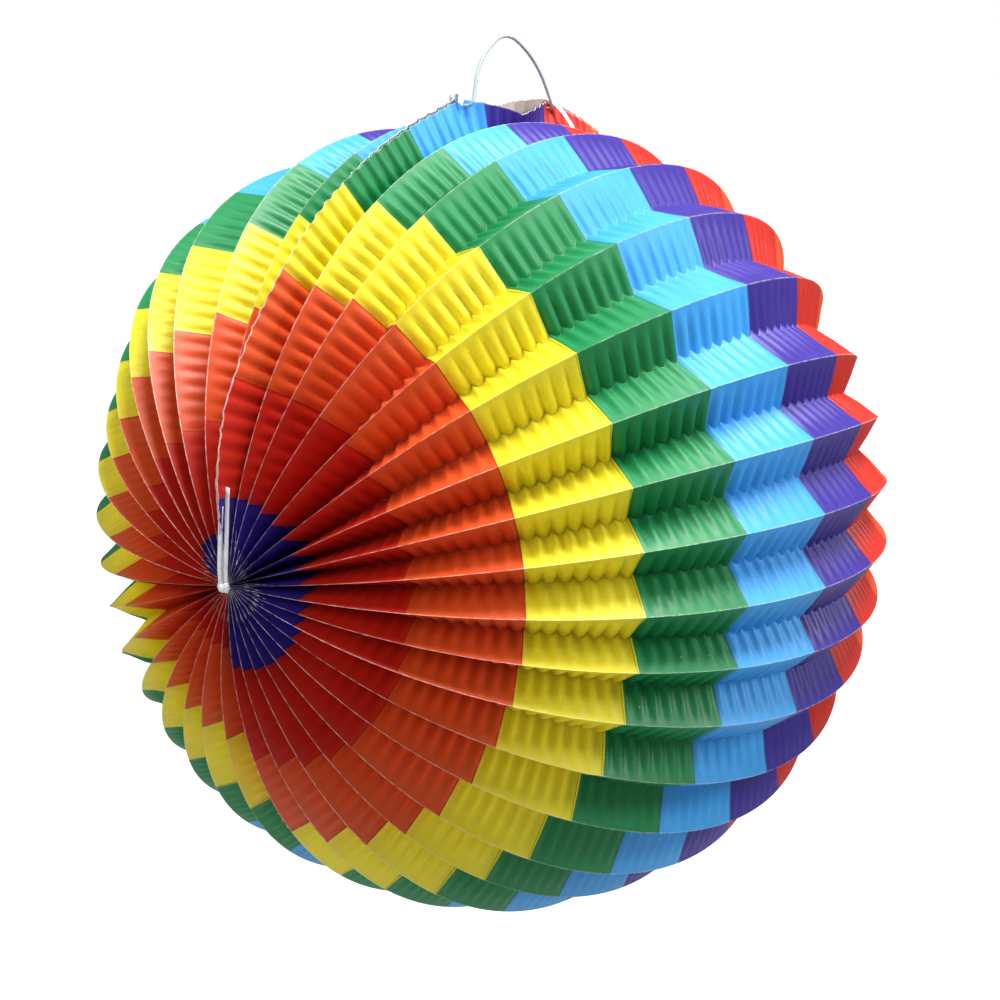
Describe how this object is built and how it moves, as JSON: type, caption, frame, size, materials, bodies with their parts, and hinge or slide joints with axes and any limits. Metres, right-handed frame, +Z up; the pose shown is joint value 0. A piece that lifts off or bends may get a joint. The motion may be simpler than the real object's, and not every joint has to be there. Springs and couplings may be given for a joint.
{
  "type": "accordion paper lantern",
  "caption": "Round hanging lantern of crimped, striped accordion paper that opens like a fan from pole to pole, on a wire bow with white ties.",
  "frame": {"origin": "underside of the wire bow at its top, where it hangs on a hook or lantern stick", "axes": "+Z up, the pole-to-pole axis of the ball along X, the pole with the visible tie at -X, the viewer's side at -Y"},
  "size_m": [0.2408, 0.25, 0.272],
  "materials": {
    "printed_paper": "semi-gloss printed paper, crimped",
    "bow_wire": "pale grey coated wire",
    "tie_strip": "white flat strip"
  },
  "bodies": {
    "bow": {"bow": "bow_wire"},
    "first_end": {"flap_first": "printed_paper", "foot_tie_left": "tie_strip", "foot_tie_right": "tie_strip", "pole_tie_left": "tie_strip", "pole_tie_right": "tie_strip"},
    "pleat_01": {"pleat_01": "printed_paper"},
    "pleat_02": {"pleat_02": "printed_paper"},
    "pleat_03": {"pleat_03": "printed_paper"},
    "pleat_04": {"pleat_04": "printed_paper"},
    "pleat_05": {"pleat_05": "printed_paper"},
    "pleat_06": {"pleat_06": "printed_paper"},
    "pleat_07": {"pleat_07": "printed_paper"},
    "pleat_08": {"pleat_08": "printed_paper"},
    "pleat_09": {"pleat_09": "printed_paper"},
    "pleat_10": {"pleat_10": "printed_paper"},
    "pleat_11": {"pleat_11": "printed_paper"},
    "pleat_12": {"pleat_12": "printed_paper"},
    "pleat_13": {"pleat_13": "printed_paper"},
    "pleat_14": {"pleat_14": "printed_paper"},
    "pleat_15": {"pleat_15": "printed_paper"},
    "pleat_16": {"pleat_16": "printed_paper"},
    "pleat_17": {"pleat_17": "printed_paper"},
    "pleat_18": {"pleat_18": "printed_paper"},
    "pleat_19": {"pleat_19": "printed_paper"},
    "pleat_20": {"pleat_20": "printed_paper"},
    "pleat_21": {"pleat_21": "printed_paper"},
    "pleat_22": {"pleat_22": "printed_paper"},
    "pleat_23": {"pleat_23": "printed_paper"},
    "pleat_24": {"pleat_24": "printed_paper"},
    "pleat_25": {"pleat_25": "printed_paper"},
    "pleat_26": {"pleat_26": "printed_paper"},
    "pleat_27": {"pleat_27": "printed_paper"},
    "pleat_28": {"pleat_28": "printed_paper"},
    "pleat_29": {"pleat_29": "printed_paper"},
    "pleat_30": {"pleat_30": "printed_paper"},
    "pleat_31": {"pleat_31": "printed_paper"},
    "pleat_32": {"pleat_32": "printed_paper"},
    "pleat_33": {"pleat_33": "printed_paper"},
    "pleat_34": {"pleat_34": "printed_paper"},
    "pleat_35": {"pleat_35": "printed_paper"},
    "last_end": {"flap_last": "printed_paper"}
  },
  "joints": [
    {"name": "bow_swing", "type": "hinge", "parent": "bow", "child": "first_end", "pos_m": [0, 0, -0.0202], "axis": [1, 0, 0], "range_deg": [-80, 80]},
    {"name": "fan_fold", "type": "hinge", "parent": "first_end", "child": "last_end", "pos_m": [0, 0, -0.146], "axis": [1, 0, 0], "range_deg": [-345.6, 0], "deforming": ["flap_last", "flap_first"]},
    {"name": "fold_01", "type": "hinge", "parent": "first_end", "child": "pleat_01", "pos_m": [0, 0, -0.146], "axis": [1, 0, 0], "range_deg": [-9.61, 0], "deforming": ["pleat_01"]},
    {"name": "fold_02", "type": "hinge", "parent": "first_end", "child": "pleat_02", "pos_m": [0, 0, -0.146], "axis": [1, 0, 0], "range_deg": [-19.21, 0], "deforming": ["pleat_02"]},
    {"name": "fold_03", "type": "hinge", "parent": "first_end", "child": "pleat_03", "pos_m": [0, 0, -0.146], "axis": [1, 0, 0], "range_deg": [-28.81, 0], "deforming": ["pleat_03"]},
    {"name": "fold_04", "type": "hinge", "parent": "first_end", "child": "pleat_04", "pos_m": [0, 0, -0.146], "axis": [1, 0, 0], "range_deg": [-38.41, 0], "deforming": ["pleat_04"]},
    {"name": "fold_05", "type": "hinge", "parent": "first_end", "child": "pleat_05", "pos_m": [0, 0, -0.146], "axis": [1, 0, 0], "range_deg": [-48.01, 0], "deforming": ["pleat_05"]},
    {"name": "fold_06", "type": "hinge", "parent": "first_end", "child": "pleat_06", "pos_m": [0, 0, -0.146], "axis": [1, 0, 0], "range_deg": [-57.61, 0], "deforming": ["pleat_06"]},
    {"name": "fold_07", "type": "hinge", "parent": "first_end", "child": "pleat_07", "pos_m": [0, 0, -0.146], "axis": [1, 0, 0], "range_deg": [-67.21, 0], "deforming": ["pleat_07"]},
    {"name": "fold_08", "type": "hinge", "parent": "first_end", "child": "pleat_08", "pos_m": [0, 0, -0.146], "axis": [1, 0, 0], "range_deg": [-76.81, 0], "deforming": ["pleat_08"]},
    {"name": "fold_09", "type": "hinge", "parent": "first_end", "child": "pleat_09", "pos_m": [0, 0, -0.146], "axis": [1, 0, 0], "range_deg": [-86.41, 0], "deforming": ["pleat_09"]},
    {"name": "fold_10", "type": "hinge", "parent": "first_end", "child": "pleat_10", "pos_m": [0, 0, -0.146], "axis": [1, 0, 0], "range_deg": [-96.01, 0], "deforming": ["pleat_10"]},
    {"name": "fold_11", "type": "hinge", "parent": "first_end", "child": "pleat_11", "pos_m": [0, 0, -0.146], "axis": [1, 0, 0], "range_deg": [-105.61, 0], "deforming": ["pleat_11"]},
    {"name": "fold_12", "type": "hinge", "parent": "first_end", "child": "pleat_12", "pos_m": [0, 0, -0.146], "axis": [1, 0, 0], "range_deg": [-115.21, 0], "deforming": ["pleat_12"]},
    {"name": "fold_13", "type": "hinge", "parent": "first_end", "child": "pleat_13", "pos_m": [0, 0, -0.146], "axis": [1, 0, 0], "range_deg": [-124.81, 0], "deforming": ["pleat_13"]},
    {"name": "fold_14", "type": "hinge", "parent": "first_end", "child": "pleat_14", "pos_m": [0, 0, -0.146], "axis": [1, 0, 0], "range_deg": [-134.41, 0], "deforming": ["pleat_14"]},
    {"name": "fold_15", "type": "hinge", "parent": "first_end", "child": "pleat_15", "pos_m": [0, 0, -0.146], "axis": [1, 0, 0], "range_deg": [-144.01, 0], "deforming": ["pleat_15"]},
    {"name": "fold_16", "type": "hinge", "parent": "first_end", "child": "pleat_16", "pos_m": [0, 0, -0.146], "axis": [1, 0, 0], "range_deg": [-153.61, 0], "deforming": ["pleat_16"]},
    {"name": "fold_17", "type": "hinge", "parent": "first_end", "child": "pleat_17", "pos_m": [0, 0, -0.146], "axis": [1, 0, 0], "range_deg": [-163.21, 0], "deforming": ["pleat_17"]},
    {"name": "fold_18", "type": "hinge", "parent": "first_end", "child": "pleat_18", "pos_m": [0, 0, -0.146], "axis": [1, 0, 0], "range_deg": [-172.81, 0], "deforming": ["pleat_18"]},
    {"name": "fold_19", "type": "hinge", "parent": "first_end", "child": "pleat_19", "pos_m": [0, 0, -0.146], "axis": [1, 0, 0], "range_deg": [-182.41, 0], "deforming": ["pleat_19"]},
    {"name": "fold_20", "type": "hinge", "parent": "first_end", "child": "pleat_20", "pos_m": [0, 0, -0.146], "axis": [1, 0, 0], "range_deg": [-192.01, 0], "deforming": ["pleat_20"]},
    {"name": "fold_21", "type": "hinge", "parent": "first_end", "child": "pleat_21", "pos_m": [0, 0, -0.146], "axis": [1, 0, 0], "range_deg": [-201.61, 0], "deforming": ["pleat_21"]},
    {"name": "fold_22", "type": "hinge", "parent": "first_end", "child": "pleat_22", "pos_m": [0, 0, -0.146], "axis": [1, 0, 0], "range_deg": [-211.21, 0], "deforming": ["pleat_22"]},
    {"name": "fold_23", "type": "hinge", "parent": "first_end", "child": "pleat_23", "pos_m": [0, 0, -0.146], "axis": [1, 0, 0], "range_deg": [-220.81, 0], "deforming": ["pleat_23"]},
    {"name": "fold_24", "type": "hinge", "parent": "first_end", "child": "pleat_24", "pos_m": [0, 0, -0.146], "axis": [1, 0, 0], "range_deg": [-230.41, 0], "deforming": ["pleat_24"]},
    {"name": "fold_25", "type": "hinge", "parent": "first_end", "child": "pleat_25", "pos_m": [0, 0, -0.146], "axis": [1, 0, 0], "range_deg": [-240.01, 0], "deforming": ["pleat_25"]},
    {"name": "fold_26", "type": "hinge", "parent": "first_end", "child": "pleat_26", "pos_m": [0, 0, -0.146], "axis": [1, 0, 0], "range_deg": [-249.61, 0], "deforming": ["pleat_26"]},
    {"name": "fold_27", "type": "hinge", "parent": "first_end", "child": "pleat_27", "pos_m": [0, 0, -0.146], "axis": [1, 0, 0], "range_deg": [-259.21, 0], "deforming": ["pleat_27"]},
    {"name": "fold_28", "type": "hinge", "parent": "first_end", "child": "pleat_28", "pos_m": [0, 0, -0.146], "axis": [1, 0, 0], "range_deg": [-268.81, 0], "deforming": ["pleat_28"]},
    {"name": "fold_29", "type": "hinge", "parent": "first_end", "child": "pleat_29", "pos_m": [0, 0, -0.146], "axis": [1, 0, 0], "range_deg": [-278.41, 0], "deforming": ["pleat_29"]},
    {"name": "fold_30", "type": "hinge", "parent": "first_end", "child": "pleat_30", "pos_m": [0, 0, -0.146], "axis": [1, 0, 0], "range_deg": [-288.01, 0], "deforming": ["pleat_30"]},
    {"name": "fold_31", "type": "hinge", "parent": "first_end", "child": "pleat_31", "pos_m": [0, 0, -0.146], "axis": [1, 0, 0], "range_deg": [-297.61, 0], "deforming": ["pleat_31"]},
    {"name": "fold_32", "type": "hinge", "parent": "first_end", "child": "pleat_32", "pos_m": [0, 0, -0.146], "axis": [1, 0, 0], "range_deg": [-307.21, 0], "deforming": ["pleat_32"]},
    {"name": "fold_33", "type": "hinge", "parent": "first_end", "child": "pleat_33", "pos_m": [0, 0, -0.146], "axis": [1, 0, 0], "range_deg": [-316.81, 0], "deforming": ["pleat_33"]},
    {"name": "fold_34", "type": "hinge", "parent": "first_end", "child": "pleat_34", "pos_m": [0, 0, -0.146], "axis": [1, 0, 0], "range_deg": [-326.41, 0], "deforming": ["pleat_34"]},
    {"name": "fold_35", "type": "hinge", "parent": "first_end", "child": "pleat_35", "pos_m": [0, 0, -0.146], "axis": [1, 0, 0], "range_deg": [-336.01, 0], "deforming": ["pleat_35"]}
  ],
  "couplings": [
    {"joint": "fold_01", "follows": "fan_fold", "ratio": 0.027778},
    {"joint": "fold_02", "follows": "fan_fold", "ratio": 0.055556},
    {"joint": "fold_03", "follows": "fan_fold", "ratio": 0.083333},
    {"joint": "fold_04", "follows": "fan_fold", "ratio": 0.11111},
    {"joint": "fold_05", "follows": "fan_fold", "ratio": 0.13889},
    {"joint": "fold_06", "follows": "fan_fold", "ratio": 0.16667},
    {"joint": "fold_07", "follows": "fan_fold", "ratio": 0.19444},
    {"joint": "fold_08", "follows": "fan_fold", "ratio": 0.22222},
    {"joint": "fold_09", "follows": "fan_fold", "ratio": 0.25},
    {"joint": "fold_10", "follows": "fan_fold", "ratio": 0.27778},
    {"joint": "fold_11", "follows": "fan_fold", "ratio": 0.30556},
    {"joint": "fold_12", "follows": "fan_fold", "ratio": 0.33333},
    {"joint": "fold_13", "follows": "fan_fold", "ratio": 0.36111},
    {"joint": "fold_14", "follows": "fan_fold", "ratio": 0.38889},
    {"joint": "fold_15", "follows": "fan_fold", "ratio": 0.41667},
    {"joint": "fold_16", "follows": "fan_fold", "ratio": 0.44444},
    {"joint": "fold_17", "follows": "fan_fold", "ratio": 0.47222},
    {"joint": "fold_18", "follows": "fan_fold", "ratio": 0.5},
    {"joint": "fold_19", "follows": "fan_fold", "ratio": 0.52778},
    {"joint": "fold_20", "follows": "fan_fold", "ratio": 0.55556},
    {"joint": "fold_21", "follows": "fan_fold", "ratio": 0.58333},
    {"joint": "fold_22", "follows": "fan_fold", "ratio": 0.61111},
    {"joint": "fold_23", "follows": "fan_fold", "ratio": 0.63889},
    {"joint": "fold_24", "follows": "fan_fold", "ratio": 0.66667},
    {"joint": "fold_25", "follows": "fan_fold", "ratio": 0.69444},
    {"joint": "fold_26", "follows": "fan_fold", "ratio": 0.72222},
    {"joint": "fold_27", "follows": "fan_fold", "ratio": 0.75},
    {"joint": "fold_28", "follows": "fan_fold", "ratio": 0.77778},
    {"joint": "fold_29", "follows": "fan_fold", "ratio": 0.80556},
    {"joint": "fold_30", "follows": "fan_fold", "ratio": 0.83333},
    {"joint": "fold_31", "follows": "fan_fold", "ratio": 0.86111},
    {"joint": "fold_32", "follows": "fan_fold", "ratio": 0.88889},
    {"joint": "fold_33", "follows": "fan_fold", "ratio": 0.91667},
    {"joint": "fold_34", "follows": "fan_fold", "ratio": 0.94444},
    {"joint": "fold_35", "follows": "fan_fold", "ratio": 0.97222}
  ]
}
